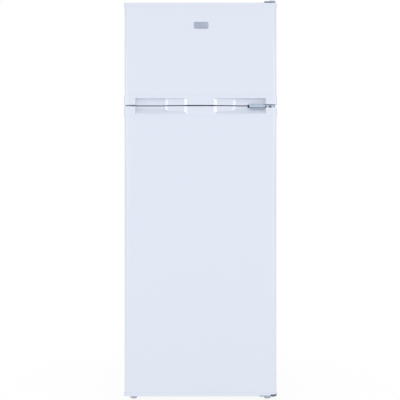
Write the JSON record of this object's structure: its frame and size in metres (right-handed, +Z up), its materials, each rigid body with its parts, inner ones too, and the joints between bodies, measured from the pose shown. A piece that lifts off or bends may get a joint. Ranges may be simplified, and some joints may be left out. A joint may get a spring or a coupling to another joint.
{
  "type": "top freezer refrigerator",
  "caption": "Freestanding white refrigerator with a freezer door above a taller fridge door, both hinged on the right, finger scoops between them, and a wire condenser on the back.",
  "frame": {"origin": "on the floor, below the middle of the bounding box", "axes": "+Z up, the doors face -Y, +X is to the right of someone in front of the doors"},
  "size_m": [0.545, 0.555, 1.43],
  "materials": {
    "door_paint": "cool white gloss coating",
    "cap_plastic": "cool white gloss moulding",
    "cabinet_paint": "white semi-gloss coating",
    "liner_plastic": "white vacuum-formed sheet",
    "foam": null,
    "gasket_rubber": "soft pale grey seal",
    "zinc_steel": "blue-grey zinc plate",
    "galvanised_steel": "plain galvanised sheet",
    "black_enamel": "black semi-gloss enamel",
    "copper": "bare copper",
    "dark_plastic": "dark moulded plastic",
    "white_plastic": "white moulded plastic",
    "clear_plastic": "clear tinted styrene",
    "shelf_glass": "tempered shelf glass",
    "bulb_glass": "frosted bulb glass",
    "plate_aluminium": "satin roll-bonded plate",
    "isolator_rubber": "black isolator rubber",
    "coated_wire": "white coated wire",
    "roller_plastic": "off-white nylon",
    "badge_metal": "brushed dark grey plate"
  },
  "bodies": {
    "cabinet": {"cabinet_shell": "cabinet_paint", "back_panel": "galvanised_steel", "base_pan": "galvanised_steel", "cabinet_foam": "foam", "freezer_liner": "liner_plastic", "fridge_liner": "liner_plastic", "mullion_rail": "cabinet_paint", "evaporator": "plate_aluminium", "compressor_crossbar": "galvanised_steel", "compressor": "black_enamel", "compressor_grommets": "isolator_rubber", "compressor_bolts": "zinc_steel", "relay_cover": "dark_plastic", "condenser_tube": "black_enamel", "condenser_wires": "black_enamel", "condenser_brackets": "dark_plastic", "filter_drier": "copper", "refrigerant_tubes": "copper", "evaporation_tray": "dark_plastic", "drain_tube": "white_plastic", "cord_gland": "dark_plastic", "roller_brackets": "zinc_steel", "left_foot_bracket": "zinc_steel", "top_hinge": "zinc_steel", "top_hinge_cover": "white_plastic", "middle_hinge": "zinc_steel", "bottom_hinge": "zinc_steel", "hinge_screws": "zinc_steel", "hinge_hole_plugs": "white_plastic", "control_housing": "white_plastic", "lamp_cover": "clear_plastic", "lamp_bulb": "bulb_glass", "glass_shelves": "shelf_glass", "shelf_trims": "white_plastic", "freezer_shelf": "coated_wire", "ice_bin": "clear_plastic"},
    "freezer_door": {"freezer_door_skin": "door_paint", "freezer_door_liner": "liner_plastic", "freezer_door_foam": "foam", "freezer_door_top_cap": "cap_plastic", "freezer_door_bottom_cap": "cap_plastic", "freezer_door_gasket": "gasket_rubber", "freezer_door_racks": "clear_plastic", "door_badge": "badge_metal"},
    "fridge_door": {"fridge_door_skin": "door_paint", "fridge_door_liner": "liner_plastic", "fridge_door_foam": "foam", "fridge_door_top_cap": "cap_plastic", "fridge_door_bottom_cap": "cap_plastic", "fridge_door_gasket": "gasket_rubber", "door_balconies": "clear_plastic", "bottle_balcony": "clear_plastic", "pivot_bush": "dark_plastic"},
    "front_foot_left": {"front_foot_left": "white_plastic"},
    "front_foot_right": {"front_foot_right": "white_plastic"},
    "roller_left": {"roller_left": "roller_plastic"},
    "roller_right": {"roller_right": "roller_plastic"},
    "thermostat_knob": {"thermostat_knob": "white_plastic"},
    "door_switch": {"door_switch": "white_plastic"},
    "crisper_drawer": {"crisper_drawer": "clear_plastic"}
  },
  "joints": [
    {"name": "freezer_door_hinge", "type": "hinge", "parent": "cabinet", "child": "freezer_door", "pos_m": [0.256, -0.2595, 1.236], "axis": [0, 0, 1], "range_deg": [0, 130]},
    {"name": "fridge_door_hinge", "type": "hinge", "parent": "cabinet", "child": "fridge_door", "pos_m": [0.256, -0.2595, 0.536], "axis": [0, 0, 1], "range_deg": [0, 130]},
    {"name": "crisper_drawer_slide", "type": "slide", "parent": "cabinet", "child": "crisper_drawer", "axis": [0, -1, 0], "range_m": [0, 0.23]},
    {"name": "door_switch_slide", "type": "slide", "parent": "cabinet", "child": "door_switch", "axis": [0, -1, 0], "range_m": [0, 0.008]},
    {"name": "thermostat_knob_turn", "type": "hinge", "parent": "cabinet", "child": "thermostat_knob", "pos_m": [0.105, -0.085, 0.97], "axis": [0, 0, -1], "range_deg": [0, 270]},
    {"name": "front_foot_left_turn", "type": "hinge", "parent": "cabinet", "child": "front_foot_left", "pos_m": [-0.242, -0.195, 0.02], "axis": [0, 0, 1], "continuous": true},
    {"name": "front_foot_right_turn", "type": "hinge", "parent": "cabinet", "child": "front_foot_right", "pos_m": [0.242, -0.195, 0.02], "axis": [0, 0, 1], "continuous": true},
    {"name": "roller_left_spin", "type": "hinge", "parent": "cabinet", "child": "roller_left", "pos_m": [-0.24, 0.2, 0.018], "axis": [1, 0, 0], "continuous": true},
    {"name": "roller_right_spin", "type": "hinge", "parent": "cabinet", "child": "roller_right", "pos_m": [0.24, 0.2, 0.018], "axis": [1, 0, 0], "continuous": true}
  ],
  "couplings": [
    {"joint": "crisper_drawer_slide", "follows": "fridge_door_hinge", "m_per_rad": 0.1},
    {"joint": "door_switch_slide", "follows": "fridge_door_hinge", "m_per_rad": 0.0034}
  ]
}
